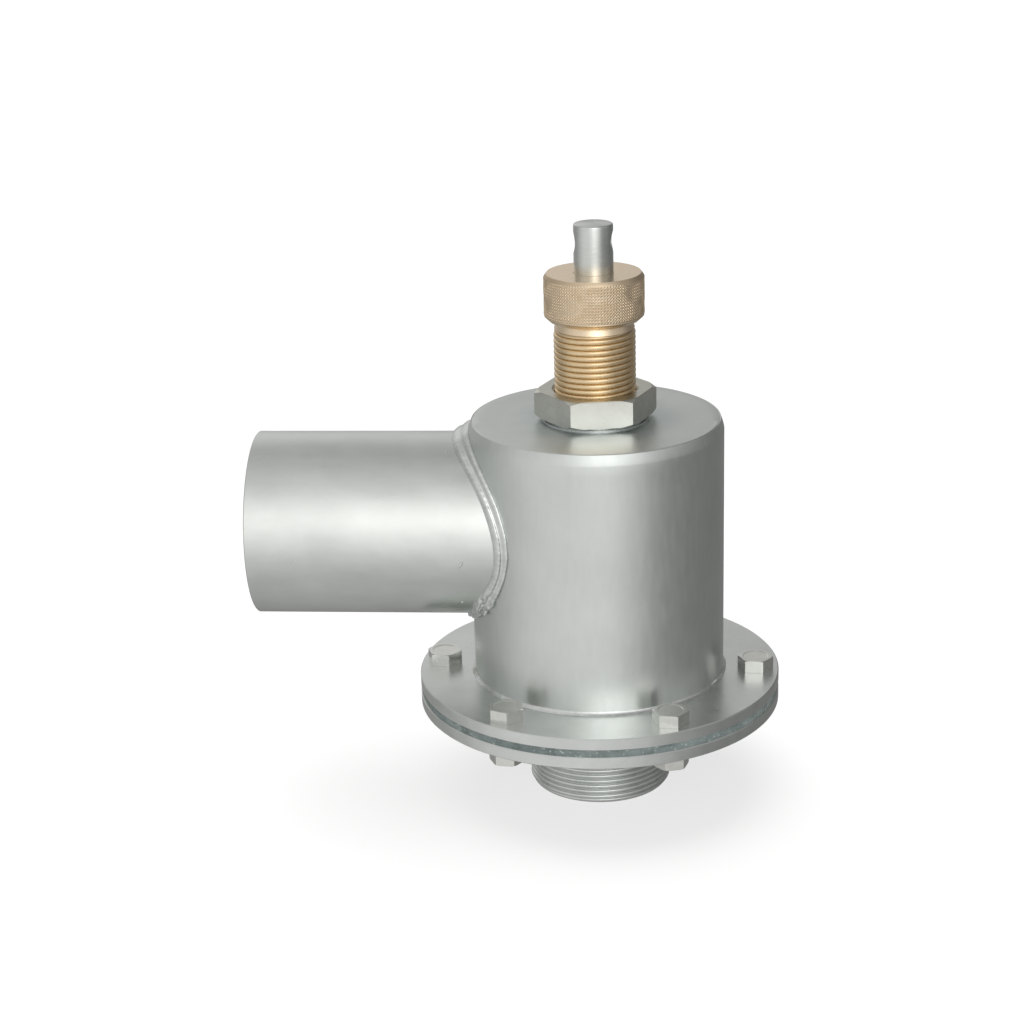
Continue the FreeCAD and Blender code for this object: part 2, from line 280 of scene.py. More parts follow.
heatHaze = {"color": (0.50, 0.57, 0.58, 1.0), "strength": 0.55, "raggedness": 12 * mm,
            "full": 31 * mm, "gone": 43 * mm, "low": 158 * mm, "high": 160 * mm}
workedTop = {"duller": 0.07, "low": 154.5 * mm, "high": 157 * mm}


def housingMaterial():
    # brushed upwards, duller on the rim and the top, with a bluish heat haze round the nut
    look = metalLook((0.72, 0.745, 0.73), 0.34, stretch=(1.0, 1.0, 0.22), streak=0.0025, mottle=0.04)
    material, tree, shader, place, color, rough = metalMaterial("housingSatin", look)
    distance, height = fromAxis(tree, place)
    ragged = noiseAt(tree, place, heatHaze["raggedness"])
    ragged = calculate(tree, "ADD", distance, calculate(tree, "MULTIPLY", ragged, heatHaze["raggedness"]))
    near = remap(tree, ragged, 1.0, 0.0, heatHaze["full"], heatHaze["gone"])
    onTop = remap(tree, height, 0.0, 1.0, heatHaze["low"], heatHaze["high"])
    haze = calculate(tree, "MULTIPLY", calculate(tree, "MULTIPLY", near, onTop), heatHaze["strength"])
    worked = remap(tree, height, 0.0, workedTop["duller"], workedTop["low"], workedTop["high"])
    feed(tree, shader, {"Base Color": mixColors(tree, haze, color, heatHaze["color"]),
                        "Roughness": calculate(tree, "ADD", rough, worked)})
    return material


# painted shade on the nut's top face: a darker, warmer grey mixed in near the top
nutTopPaintedShade = {"color": (0.54, 0.53, 0.46, 1.0), "strength": 0.8, "begins": 0.6 * mm, "full": 0.1 * mm}


def nutMaterial():
    # warm grey, with painted shade that darkens its top face
    look = metalLook((0.74, 0.74, 0.69), 0.30, blotch=0.010, streak=0.003)
    material, tree, shader, place, color, _ = metalMaterial("lockNutMetal", look)
    height = addNode(tree, "ShaderNodeSeparateXYZ", {"Vector": place}).outputs["Z"]
    top = heights("lock_nut")[1]
    # painted shade: the colour turns darker towards the top face
    onTop = remap(tree, height, 0.0, nutTopPaintedShade["strength"], top - nutTopPaintedShade["begins"], top - nutTopPaintedShade["full"])
    feed(tree, shader, {"Base Color": mixColors(tree, onTop, color, nutTopPaintedShade["color"])})
    return material


def stemMaterial():
    # ground round and round, which draws its highlight into an upright line
    look = metalLook((0.69, 0.71, 0.69), 0.21, stretch=(0.3, 0.3, 1.0), blotch=0.010, streak=0.0012,
                     roughSpread=0.04)
    material, tree, shader, *_ = metalMaterial("stemTurned", look)
    around = addNode(tree, "ShaderNodeTangent", direction_type="RADIAL", axis="Z")
    feed(tree, shader, {"Tangent": around.outputs["Tangent"]})
    shader.inputs["Anisotropic"].default_value = 0.88
    shader.inputs["Anisotropic Rotation"].default_value = 0.25
    return material


brass = {"golden": (0.87, 0.67, 0.42), "pink": (0.95, 0.77, 0.56, 1.0), "brown": (0.44, 0.35, 0.24, 1.0),
         "neck": (-3.6 * mm, -3.0 * mm), "head": (1.0 * mm, 1.6 * mm),  # from the head's underside
         "knurl": (19.0 * mm, 19.4 * mm), "root": (15.80 * mm, 16.15 * mm),  # from the axis
         "groove": (20.05 * mm, 20.35 * mm), "rootDarkness": 0.7, "grooveDarkness": 0.45,
         "knurlDullness": 0.18}
screwHeadHeight = 19.2 * mm


def brassMaterial():
    # golden thread, pinker on the neck and head, duller on the knurl, browner in the roots and grooves
    look = metalLook(brass["golden"], 0.27, blotch=0.007, streak=0.002, mottle=0.07)
    material, tree, shader, place, color, rough = metalMaterial("screwBrass", look)
    distance, height = fromAxis(tree, place)
    headLow = heights("adjusting_screw")[1] - screwHeadHeight
    onNeck = remap(tree, height, 0.0, 1.0, *(headLow + z for z in brass["neck"]))
    onHead = remap(tree, height, 0.0, 1.0, *(headLow + z for z in brass["head"]))
    knurled = calculate(tree, "MULTIPLY", onHead, remap(tree, distance, 0.0, 1.0, *brass["knurl"]))
    color = mixColors(tree, onNeck, color, brass["pink"])
    root = remap(tree, distance, 1.0, 0.0, *brass["root"])
    root = calculate(tree, "MULTIPLY", root, calculate(tree, "SUBTRACT", brass["rootDarkness"], onNeck))
    groove = remap(tree, distance, brass["grooveDarkness"], 0.0, *brass["groove"])
    groove = calculate(tree, "MULTIPLY", groove, knurled)
    color = mixColors(tree, calculate(tree, "MAXIMUM", root, groove), color, brass["brown"])
    rough = calculate(tree, "ADD", rough, calculate(tree, "MULTIPLY", knurled, brass["knurlDullness"]))
    feed(tree, shader, {"Base Color": color, "Roughness": rough})
    return material


def gasketMaterial():
    # dark pressed fibre with pale specks
    material, tree, shader = newMaterial("gasketFibre")
    place = addNode(tree, "ShaderNodeTexCoord").outputs["Object"]
    cloud = remap(tree, noiseAt(tree, place, 0.006, 4.0), 0.0, 1.0)
    color = mixColors(tree, cloud, (0.10, 0.13, 0.125, 1.0), (0.20, 0.24, 0.235, 1.0))
    specks = remap(tree, noiseAt(tree, place, 0.0011, 2.0), 0.0, 1.0, 0.63, 0.70)
    color = mixColors(tree, specks, color, (0.42, 0.46, 0.45, 1.0))
    feed(tree, shader, {"Base Color": color, "Roughness": remap(tree, cloud, 0.45, 0.65, 0.0, 1.0),
                        "Normal": reliefFrom(tree, noiseAt(tree, place, 0.0008), 0.00008)})
    return material


def plainMaterial(name, color, rough, size):
    # rubber and plastic: faint clouds and a matt grain
    material, tree, shader = newMaterial(name)
    place = addNode(tree, "ShaderNodeTexCoord").outputs["Object"]
    cloud = remap(tree, noiseAt(tree, place, size, 3.0), 0.0, 1.0)
    feed(tree, shader, {"Base Color": mixColors(tree, cloud, shaded(color, 0.85), shaded(color, 1.1)),
                        "Roughness": remap(tree, cloud, rough - 0.06, rough + 0.06, 0.0, 1.0),
                        "Normal": reliefFrom(tree, noiseAt(tree, place, 0.0007), 0.00002)})
    return material


finishes = {
    "housing_steel": housingMaterial(),
    "pipe_steel": plainMetal("pipeSatin", (0.74, 0.76, 0.74), 0.32, stretch=(0.25, 1.0, 1.0), streak=0.006,
                             mottle=0.06, roughSpread=0.06),
    "flange_steel": plainMetal("flangeSatin", (0.74, 0.76, 0.745), 0.31, blotch=0.018, streak=0.006),
    "weld_bead": plainMetal("weldBead", (0.74, 0.76, 0.75), 0.24, blotch=0.006, streak=0.003, mottle=0.07,
                            relief=0.000004),
    "thread_steel": plainMetal("turnedThread", (0.72, 0.74, 0.725), 0.30, blotch=0.012, streak=0.003,
                               mottle=0.04, relief=0.000001),
    "fastener_steel": plainMetal("boltMetal", (0.76, 0.76, 0.73), 0.22, blotch=0.004, streak=0.0015,
                                 mottle=0.06, roughSpread=0.07),
    "nut_steel": nutMaterial(),
    "stem_steel": stemMaterial(),
    "spring_steel": plainMetal("springWire", (0.50, 0.51, 0.51), 0.30, blotch=0.005, mottle=0.08),
    "inner_steel": plainMetal("innerTurned", (0.66, 0.68, 0.67), 0.28, blotch=0.012),
    "screw_brass": brassMaterial(),
    "gasket_sheet": gasketMaterial(),
    "seal_rubber": plainMaterial("sealRubber", (0.035, 0.035, 0.035), 0.6, 0.004),
    "ring_metal": plainMetal("softRing", (0.86, 0.86, 0.84), 0.25, blotch=0.004),
    "guide_plastic": plainMaterial("guidePlastic", (0.80, 0.79, 0.74), 0.45, 0.006),
}

for nodeName, cadPiece in frame["nodes"].items():
    cadPiece.data.materials.clear()
    cadPiece.data.materials.append(finishes[slotOfNode[nodeName]])
print("materials: ready")


# Threads

threadSteps = 12  # points along one pitch


def threadHeight(share, fullness):  # the fuller the crests, the narrower the roots
    return 1 - abs(2 * share - 1) ** fullness


def threadRows(size, low, high, columns):
    # rows that climb with a right-hand thread; they lie flat at both ends, where the ridges fade out
    rows, meets = [], {}
    turns = math.ceil((high - low) / size["pitch"])
    count = threadSteps * (turns + 1) + 1
    root = size["crest"] - size["depth"]
    for k in range(count):
        share = k % threadSteps / threadSteps
        row = []
        for j in range(columns):
            rise = k // threadSteps - 1 + share + j / columns
            z = min(high, max(low, low + rise * size["pitch"]))
            fade = min(1.0, (z - low) / size["leadIn"], (high - z) / size["runOut"])
            radius = root + size["depth"] * threadHeight(share, size["fullness"]) * max(0.0, fade)
            angle = 2 * math.pi * j / columns
            row.append((radius * math.cos(angle), radius * math.sin(angle), z))
        rows.append(row)
        meets[k] = min(k + threadSteps, count - 1)
    return rows, meets


# Inlet nipple with its pipe thread and the seat lip at its upper end

inletNipple = {"crest": 29.8 * mm, "pitch": 2.309 * mm, "depth": 1.20 * mm, "fullness": 2.2,
               "leadIn": 1.6 * mm, "runOut": 1.2 * mm,
               "bore": 25.0 * mm, "threadTop": 26.0 * mm, "relief": 0.3 * mm, "reliefTop": 35.0 * mm,
               "lipWidth": 1.4 * mm, "lipSlope": 2.0 * mm, "edge": 0.3 * mm, "columns": 240}


def makeInletNipple():
    s = inletNipple
    low, high = heights("inlet_nipple")
    root = s["crest"] - s["depth"]
    rows, meets = threadRows(s, low + s["edge"], s["threadTop"], s["columns"])
    bore, lip, edge = s["bore"], s["bore"] + s["lipWidth"], s["edge"]
    above = [(root - s["relief"], s["threadTop"] + s["relief"]), (root - s["relief"], s["reliefTop"]),
             (root, s["reliefTop"] + s["relief"]), (root, high - s["lipSlope"]), (lip, high - edge / 2),
             (lip - edge / 2, high), (bore + edge / 2, high), (bore, high - edge / 2), (bore, low + edge),
             (bore + edge, low), (root - edge, low)]
    rows += [circleRow(radius, z, s["columns"]) for radius, z in above]
    return addRows("inletNipple", rows, finishes["thread_steel"], meets=meets)


standFor(makeInletNipple(), "inlet_nipple")
print("inlet nipple: threaded")


# Adjusting screw: long thread, slightly tapered neck, knurled head

screw = {"crest": 16.62 * mm, "pitch": 2.309 * mm, "depth": 0.85 * mm, "fullness": 3.4,
         "leadIn": 1.2 * mm, "runOut": 1.5 * mm, "neckLength": 3.6 * mm, "neckRadius": 15.3 * mm,
         "neckFoot": 16.3 * mm, "topChamfer": 1.3 * mm, "lowChamfer": 2.2 * mm, "bore": 8.05 * mm,
         "boreStep": 1.25 * mm, "edge": 0.25 * mm, "columns": 130, "knurlsRound": 104, "knurlRows": 13,
         "stepsPerKnurl": 5, "knurlDepth": 0.34 * mm, "knurlFade": 0.6 * mm, "knurlFlat": 0.75,
         "knurlFoot": 0.6, "worn": 0.90, "wornSpread": 0.6, "wornAcross": 5, "wornUp": 300,
         "leastHeight": 0.5}


def knurlHeight(turn, rise):
    # raised diamonds between two crossing sets of grooves, with their tips worn flat
    first, second = (turn + rise) % 1.0, (turn - rise) % 1.0
    peak = min(1 - abs(2 * first - 1), 1 - abs(2 * second - 1))
    return min(peak, screw["knurlFlat"]) / screw["knurlFlat"]


def fanFaces(coarse, fine, columns, ratio):
    # from a ring of columns to one with ratio times as many
    faces = []
    for j in range(columns):
        here, beyond = coarse + j, coarse + (j + 1) % columns
        for k in range(ratio):
            outer, outerNext = fine + j * ratio + k, fine + (j * ratio + k + 1) % (columns * ratio)
            faces.append((here if k < ratio / 2 else beyond, outerNext, outer))
        faces.append((here, beyond, fine + j * ratio + ratio // 2))
    return faces


def makeScrew():
    s = screw
    low, high = heights("adjusting_screw")
    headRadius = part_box("adjusting_screw")[1].x
    headLow = high - screwHeadHeight
    columns, fine = s["columns"], s["knurlsRound"] * s["stepsPerKnurl"]
    rows, meets = threadRows(s, low + s["edge"], headLow - s["neckLength"], columns)
    rows.append(circleRow(s["neckFoot"], headLow - s["neckLength"] + s["edge"], columns))
    rows.append(circleRow(s["neckRadius"], headLow - s["edge"], columns))
    rows.append(circleRow(s["neckRadius"] + s["edge"], headLow, columns))
    points = [p for row in rows for p in row]
    faces = gridFaces(len(rows), columns, False, meets)
    lastCoarse = (len(rows) - 1) * columns

    start = len(points)  # the head has finer columns
    knurlLow, knurlHigh = headLow + s["lowChamfer"], high - s["topChamfer"]
    fineRows = [circleRow(headRadius - s["lowChamfer"], headLow, fine),
                circleRow(headRadius - s["knurlDepth"] * s["knurlFoot"], knurlLow - s["knurlDepth"], fine)]
    steps = s["knurlRows"] * s["stepsPerKnurl"]
    for k in range(steps + 1):
        z = knurlLow + (knurlHigh - knurlLow) * k / steps
        fade = ease(min(z - knurlLow, knurlHigh - z) / s["knurlFade"])
        row = []
        for j in range(fine):
            across = direction(2 * math.pi * j / fine, 0)
            worn = noise.noise(across * s["wornAcross"] + Vector((0, 0, z * s["wornUp"])))
            worn = s["worn"] + s["wornSpread"] * worn
            height = knurlHeight(j / s["stepsPerKnurl"], k / s["stepsPerKnurl"])
            height *= min(1.0, max(s["leastHeight"], worn))
            radius = headRadius - s["knurlDepth"] * (1 - height * fade)
            row.append((radius * across.x, radius * across.y, z))
        fineRows.append(row)
    fineRows.append(circleRow(headRadius - s["topChamfer"], high, fine))
    points += [p for row in fineRows for p in row]
    faces += gridFaces(len(fineRows), fine, False, None, start)

    ratio = fine // columns
    faces += fanFaces(lastCoarse, start, columns, ratio)  # the head's underside

    topStart = len(points)  # top face, bore and lower end
    lowBore = s["bore"] + s["boreStep"]
    inner = [(s["bore"] + s["edge"], high), (s["bore"], high - s["edge"]), (s["bore"], headLow),
             (lowBore, headLow), (lowBore, low), (s["crest"] - s["depth"] - s["edge"], low)]
    innerRows = [circleRow(radius, z, columns) for radius, z in inner]
    points += [p for row in innerRows for p in row]
    faces += gridFaces(len(innerRows), columns, False, None, topStart)
    faces += fanFaces(topStart, start + (len(fineRows) - 1) * fine, columns, ratio)
    lastInner = topStart + (len(innerRows) - 1) * columns
    for j in range(columns):
        nextCol = (j + 1) % columns
        nextLow = meets[0] * columns if nextCol == 0 else nextCol
        faces.append((lastInner + j, lastInner + nextCol, nextLow, j))
    return addPiece("adjustingScrew", points, faces, finishes["screw_brass"], 34)


standFor(makeScrew(), "adjusting_screw")
print("adjusting screw: threaded and knurled")


# Hexagons: lock nut, bolts and nuts

def hexRadius(angle, flats):
    sector = (angle + math.pi / 6) % (math.pi / 3) - math.pi / 6
    return flats / 2 / math.cos(math.pi / 6 - abs(sector))


def hexRow(flats, twist, columns, zAt, widest=1.0):
    # zAt gives a point's height from its distance to the middle, and widest rounds the corners off
    row = []
    for j in range(columns):
        angle = 2 * math.pi * j / columns
        radius = min(widest, hexRadius(angle, flats))
        turned = angle + twist
        row.append((radius * math.cos(turned), radius * math.sin(turned), zAt(radius)))
    return row


def hexRows(size, low, high, twist, chamferBelow):
    # sides of a hexagon whose corners a cone of 30 degrees turns away, above and if asked below
    columns, flats, ring = size["columns"], size["flats"], size["chamferRadius"]

    def cut(radius):
        return max(0.0, radius - ring) * math.tan(math.radians(30))

    rows = []
    if chamferBelow:
        rows.append(hexRow(flats, twist, columns, lambda radius: low, ring))
        rows.append(hexRow(flats, twist, columns, lambda radius: low + cut(radius)))
    else:
        rows.append(hexRow(flats, twist, columns, lambda radius: low))
    rows.append(hexRow(flats, twist, columns, lambda radius: high - cut(radius)))
    rows.append(hexRow(flats, twist, columns, lambda radius: high, ring))
    return rows


def nutFrom(name, size, low, high, twist, place, material):
    rows = hexRows(size, low, high, twist, True)
    bore, mouth = size["bore"], size["bore"] + size["countersink"]
    for radius, z in ((mouth, high), (bore, high - size["countersink"]),
                      (bore, low + size["countersink"]), (mouth, low)):
        rows.append(circleRow(radius, z, size["columns"], twist))
    return addRows(name, moved(rows, place), material, size["sharpAngle"], size["edge"])


lockNut = {"flats": 43.5 * mm, "twist": math.radians(9.4), "chamferRadius": 23.0 * mm, "bore": 16.75 * mm,
           "countersink": 1.0 * mm, "columns": 144, "edge": 0.25 * mm, "sharpAngle": 18}

standFor(nutFrom("lockNut", lockNut, *heights("lock_nut"), lockNut["twist"], Vector((0, 0, 0)),
                 finishes["nut_steel"]), "lock_nut")

lockRing = {"inner": 17.1 * mm, "outer": 19.9 * mm, "edge": 0.3 * mm, "edgeSteps": 3, "columns": 160}


def makeLockRing():
    s = lockRing
    low, high = heights("lock_ring")
    corners = [(s["inner"], low), (s["outer"], low), (s["outer"], high), (s["inner"], high)]
    rows = []
    for i, corner in enumerate(corners):  # each corner becomes a small round
        here = Vector(corner)
        start = here + (Vector(corners[i - 1]) - here).normalized() * s["edge"]
        end = here + (Vector(corners[(i + 1) % len(corners)]) - here).normalized() * s["edge"]
        for step in range(s["edgeSteps"] + 1):
            t = step / s["edgeSteps"]
            radius, z = start * (1 - t) ** 2 + here * 2 * t * (1 - t) + end * t ** 2
            rows.append(circleRow(radius, z, s["columns"]))
    return addRows("lockRing", rows, finishes["ring_metal"])


standFor(makeLockRing(), "lock_ring")

flangeBolt = {"flats": 13.0 * mm, "chamferRadius": 6.9 * mm, "dish": 5.2 * mm, "dishDepth": 0.15 * mm,
              "shank": 4.0 * mm, "centre": 0.4 * mm, "endChamfer": 0.8 * mm, "columns": 48,
              "edge": 0.12 * mm, "sharpAngle": 22}
flangeNut = {"flats": 13.0 * mm, "chamferRadius": 6.9 * mm, "bore": 4.02 * mm, "countersink": 0.5 * mm,
             "columns": 48, "edge": 0.12 * mm, "sharpAngle": 22, "twist": 20.0}
boltCircle = {"radius": 66.0 * mm, "firstAngle": math.radians(-1.8),
              "twists": (-5.9, 12.0, 24.0, -11.5, 35.4, -5.6)}  # how far each bolt is turned, in degrees


def boltPlaces():
    for k, twist in enumerate(boltCircle["twists"]):
        angle = boltCircle["firstAngle"] + 2 * math.pi * k / len(boltCircle["twists"])
        yield direction(angle, 0) * boltCircle["radius"], twist


def makeBolts():
    s = flangeBolt
    low, high = heights("flange_bolts")
    seat = heights("body_flange")[1]
    made = []
    for place, twistDegrees in boltPlaces():
        twist = math.radians(twistDegrees)
        rows = [circleRow(radius, z, s["columns"], twist) for radius, z in (
            (s["centre"], low), (s["shank"] - s["endChamfer"], low), (s["shank"], low + s["endChamfer"]),
            (s["shank"], seat))]
        rows += hexRows(s, seat, high, twist, False)
        rows += [circleRow(radius, z, s["columns"], twist) for radius, z in (
            (s["dish"], high), (s["dish"] - s["dishDepth"], high - s["dishDepth"]),
            (s["centre"], high - s["dishDepth"]))]
        made.append(addRows("flangeBolts", moved(rows, place), finishes["fastener_steel"], s["sharpAngle"],
                            s["edge"], closed=False))
    return joinPieces(made)


def makeNuts():
    made = []
    for place, twistDegrees in boltPlaces():
        twist = math.radians(twistDegrees + flangeNut["twist"])
        made.append(nutFrom("flangeNuts", flangeNut, *heights("flange_nuts"), twist, place,
                            finishes["fastener_steel"]))
    return joinPieces(made)


standFor(makeBolts(), "flange_bolts")
standFor(makeNuts(), "flange_nuts")
print("fasteners: ready")


# Stem with its cross hole

stem = {"radius": 8.0 * mm, "lowRadius": 6.0 * mm, "endEdge": 0.7 * mm, "endSteps": 4, "columns": 128,
        "holeRadius": 3.5 * mm, "holeBelowEnd": 7.4 * mm, "holeColumns": 64, "flare": 1.0 * mm,
        "flareCurve": 1.6, "flareSteps": 8, "flareInset": 0.1 * mm,
        "grooveDepth": 1.2 * mm, "grooveWidth": 1.2 * mm, "grooveAbovePlate": 0.3 * mm, "centre": 0.3 * mm,
        "lowChamfer": 0.4 * mm, "ringsAt": (0.1, 0.14, 0.18, 0.21), "topRingBelowEnd": 12.5 * mm}


def flaredCutter(radius, flare, reach, height):
    # a bar along X that widens in a soft curve where it leaves the stem
    outline = [(-reach - flare, radius + 2 * flare)]
    for k in range(stem["flareSteps"] + 1):
        inward = math.sin(math.pi / 2 * k / stem["flareSteps"])
        outline.append((-reach + flare * inward, radius + flare * (1 - inward) ** stem["flareCurve"]))
    outline += [(-x, r) for x, r in reversed(outline)]
    rows = [ringAlongX(x, r, height, stem["holeColumns"]) for x, r in outline]
    return addRows("stemCutter", rows, finishes["stem_steel"], closed=False)


def cutAway(piece, cutter):
    cut = piece.modifiers.new("cut", "BOOLEAN")
    cut.operation = "DIFFERENCE"
    cut.solver = "EXACT"
    cut.object = cutter
    applyModifiers(piece)
    bpy.data.objects.remove(cutter)


def makeStem():
    s = stem
    low, high = heights("stem")
    shoulder = heights("valve_disc")[1]
    clipLow = heights("lower_spring_plate")[1] + s["grooveAbovePlate"]
    groove, clipHigh = s["radius"] - s["grooveDepth"], clipLow + s["grooveWidth"]
    outline = [(s["centre"], low), (s["lowRadius"] - s["lowChamfer"], low),
               (s["lowRadius"], low + s["lowChamfer"]), (s["lowRadius"], shoulder), (s["radius"], shoulder),
               (s["radius"], clipLow), (groove, clipLow), (groove, clipHigh), (s["radius"], clipHigh)]
    for z in s["ringsAt"] + (high - s["topRingBelowEnd"],):
        outline.append((s["radius"], z))
    for k in range(s["endSteps"] + 1):
        turn, edge = math.pi / 2 * k / s["endSteps"], s["endEdge"]
        outline.append((s["radius"] - edge * (1 - math.cos(turn)), high - edge * (1 - math.sin(turn))))
    outline.append((s["centre"], high))
    rows = [circleRow(radius, z, s["columns"]) for radius, z in outline]
    piece = addRows("stem", rows, finishes["stem_steel"], closed=False)
    reach, holeHeight = s["radius"] - s["flareInset"], high - s["holeBelowEnd"]
    cutAway(piece, flaredCutter(s["holeRadius"], s["flare"], reach, holeHeight))
    shadeSmooth(piece, 35)
    return piece


standFor(makeStem(), "stem")
print("stem: drilled")


# Housing: drum with a worked-over top rim and a fine crease where the flat top begins

housing = {"radius": 52.5 * mm, "wall": 2.5 * mm, "topThickness": 3.0 * mm, "boss": 21.69 * mm,
           "rim": 4.6 * mm, "rimWidth": 1.35 * mm, "rimCurve": 1.3, "rimSteps": 10, "rimEnd": 0.97,
           "columns": 256, "wallSteps": 24, "topSteps": 8, "innerRound": 0.3,
           "creaseDepth": 0.30 * mm, "creaseWidth": 0.80 * mm, "creaseStart": 0.1 * mm, "creaseLevel": 0.75,
           "waviness": 0.05 * mm, "waveScale": 28, "sink": 0.25 * mm, "sinkAt": 36 * mm, "sinkWidth": 8 * mm,
           "outletAxis": 115.0 * mm, "outletBore": 36.05 * mm, "outletColumns": 96,
           "outletCut": (-70 * mm, -10 * mm)}


def rimRadius(share):  # of the worked-over top edge, from its start on the wall (0) to the top (1)
    return housing["radius"] - housing["rimWidth"] * share ** housing["rimCurve"]


def makeHousing():
    s = housing
    low, high = heights("housing_shell")
    columns = s["columns"]
    flat = s["radius"] - s["rimWidth"]
    wallHeight = high - s["rim"] - low
    outline = [(s["radius"], low + wallHeight * k / s["wallSteps"]) for k in range(s["wallSteps"] + 1)]
    for k in range(1, s["rimSteps"] + 1):
        share = s["rimEnd"] * k / s["rimSteps"]  # stops just short of the top, which leaves a small round
        outline.append((rimRadius(share), high - s["rim"] * (1 - share)))
    outline.append((flat - s["creaseStart"], high))
    creaseRadius, creaseEnd = flat - s["creaseWidth"] / 2, flat - s["creaseWidth"]
    outline += [(creaseRadius, high - s["creaseDepth"]), (creaseEnd, high)]
    for k in range(1, s["topSteps"] + 1):
        outline.append((creaseEnd - (creaseEnd - s["boss"]) * k / s["topSteps"], high))
    outerCount = len(outline)
    inside = s["radius"] - s["wall"]
    top = high - s["topThickness"]
    bend = s["wall"] * s["innerRound"]
    outline += [(s["boss"], top), (inside - s["wall"], top), (inside - bend, top - bend),
                (inside, top - s["wall"]), (inside, low)]
    rows = []
    for index, (radius, z) in enumerate(outline):
        rows.append([])
        for x, y, height in circleRow(radius, z, columns):
            if index < outerCount:  # hand-finished sheet is never quite true
                wave = noise.noise(Vector((x, y, height)) * s["waveScale"]) * s["waviness"]
                if abs(radius - creaseRadius) < 1e-6:  # the crease is shallower towards the back
                    height += s["creaseDepth"] * s["creaseLevel"] * (1 - ease(0.5 - y / radius))
                elif z > high - 1e-6:
                    height += min(0.0, wave) - s["sink"] * bump(radius, s["sinkAt"], s["sinkWidth"])
                else:
                    x, y = x * (1 - abs(wave) / radius), y * (1 - abs(wave) / radius)
            rows[-1].append((x, y, height))
    piece = addRows("housingShell", rows, finishes["housing_steel"])
    cutter = [ringAlongX(x, s["outletBore"], s["outletAxis"], s["outletColumns"]) for x in s["outletCut"]]
    cutAway(piece, addRows("outletCutter", cutter, finishes["housing_steel"], closed=False))
    shadeSmooth(piece, 28)
    return piece


standFor(makeHousing(), "housing_shell")
print("housing: formed")


# Outlet pipe, cut to the housing's round at one end

outletPipe = {"radius": 38.05 * mm, "wall": 2.0 * mm, "edge": 0.35 * mm, "columns": 192,
              "waviness": 0.06 * mm, "waveScale": 22, "rows": 24, "innerRows": 6}


def saddleX(radius, angle):
    # where a line along the pipe at this radius and angle meets the housing
    return -math.sqrt(housing["radius"] ** 2 - (radius * math.cos(angle)) ** 2)


def makePipe():
    s = outletPipe
    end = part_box("outlet_pipe")[0].x
    outer, inner = s["radius"], s["radius"] - s["wall"]
    outline = [(outer, k / s["rows"], 0.0) for k in range(s["rows"] + 1)]
    outline += [(outer - s["edge"], 1.0, s["edge"]), (inner + s["edge"], 1.0, s["edge"]), (inner, 1.0, 0.0)]
    outline += [(inner, 1 - k / s["innerRows"], 0.0) for k in range(1, s["innerRows"] + 1)]
    rows = []
    for radius, share, past in outline:  # share runs from the housing to the open end
        rows.append([])
        for j in range(s["columns"]):
            angle = 2 * math.pi * j / s["columns"]
            near = saddleX(radius, angle)
            x = near + (end + s["edge"] - near) * share - past
            y, z = radius * math.cos(angle), radius * math.sin(angle)
            wave = 0.0
            if radius == outer:
                wave = abs(noise.noise(Vector((x, y, z)) * s["waveScale"])) * s["waviness"]
            rows[-1].append((x, y * (1 - wave / radius), housing["outletAxis"] + z * (1 - wave / radius)))
    return addRows("outletPipe", rows, finishes["pipe_steel"])


standFor(makePipe(), "outlet_pipe")
print("outlet pipe: ready")


# Weld beads

outletBead = {"columns": 480, "sectionSteps": 32, "sink": 0.8 * mm, "edgeSink": 0.05 * mm,
              "wobbleScale": 3,
              "pipeLeg": 3.7 * mm, "pipeLegTop": 3.3 * mm, "pipeLegSpread": 0.75, "pipeLegWobble": 0.4 * mm,
              "wallLeg": 1.5 * mm, "wallLegTop": 3.7 * mm, "wallLegSpread": 1.05, "wallLegWobble": 0.3 * mm,
              "tighter": 1.6 * mm, "tightFrom": 112, "tightOver": 40,  # degrees from the top
              "crown": 1.8 * mm, "crownShape": 0.65, "topCrownLoss": 0.6, "crownLossSpread": 0.4,
              "groove": 0.74, "grooveAt": 0.56, "grooveWidth": 0.20, "unevenness": 0.22, "unevenScale": 9,
              "ripple": 0.035, "rippleLength": 2.2 * mm, "rippleBend": 5,
              "blobAt": math.radians(222), "blobWidth": 0.26, "blob": 2.6 * mm, "blobOnWall": 0.4,
              "blobLump": 1.7 * mm, "lumpLevel": 0.5, "lumpDepth": 1.6, "lumpScale": (14, 5),
              "spatter": (  # millimetres along the pipe, degrees round it, size in millimetres
                  (-54.3, 189.7, 0.7), (-53.9, 188.8, 0.95), (-53.5, 187.9, 1.15), (-53.1, 187.0, 1.1),
                  (-52.7, 186.1, 0.8), (-54.3, 220.3, 0.8), (-60.6, 112.0, 0.5))}
rimStart = heights("housing_shell")[1] - housing["rim"]


def onHousing(radius, angle, standOff):
    # a point at this radius round the pipe's axis, standing off the housing's skin
    y, z = radius * math.cos(angle), housing["outletAxis"] + radius * math.sin(angle)
    skin = housing["radius"]
    if z > rimStart:
        skin = rimRadius(min(1.0, (z - rimStart) / housing["rim"]))
    return (-math.sqrt(max(0.0, skin ** 2 - y ** 2)) - standOff, y, z)


